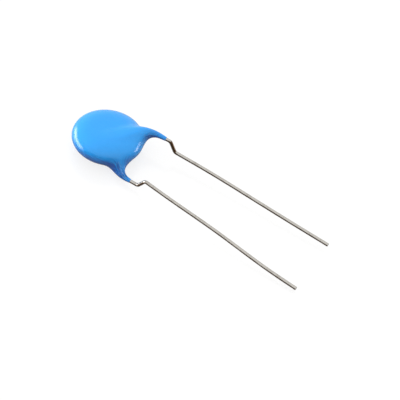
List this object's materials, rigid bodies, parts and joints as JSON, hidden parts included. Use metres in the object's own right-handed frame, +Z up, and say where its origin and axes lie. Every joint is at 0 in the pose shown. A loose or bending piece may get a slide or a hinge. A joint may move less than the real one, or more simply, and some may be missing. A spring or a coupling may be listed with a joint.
{
  "type": "ceramic disc capacitor",
  "caption": "Epoxy-dipped round ceramic disc capacitor whose crimped radial wire leads leave through tapered coated legs.",
  "frame": {"origin": "on the floor below the middle of the whole part's bounding box, with the part lying as it comes to rest on its dipped disc", "axes": "+X along the leads from the disc towards their tips, +Y across the leads towards the upper lead, +Z up; the disc's axis leans about 5 degrees from Z because the ridge of the lower lead lies under one side"},
  "size_m": [0.0517, 0.0141, 0.0053],
  "materials": {
    "coating": "gloss",
    "ceramic": "matte",
    "electrode": "satin",
    "solder": "satin",
    "tinned_wire": "satin"
  },
  "bodies": {
    "root": {"coating": "coating", "ceramic_disc": "ceramic", "electrode_upper": "electrode", "electrode_lower": "electrode", "solder_upper": "solder", "solder_lower": "solder", "lead_upper": "tinned_wire", "lead_lower": "tinned_wire"}
  },
  "joints": []
}
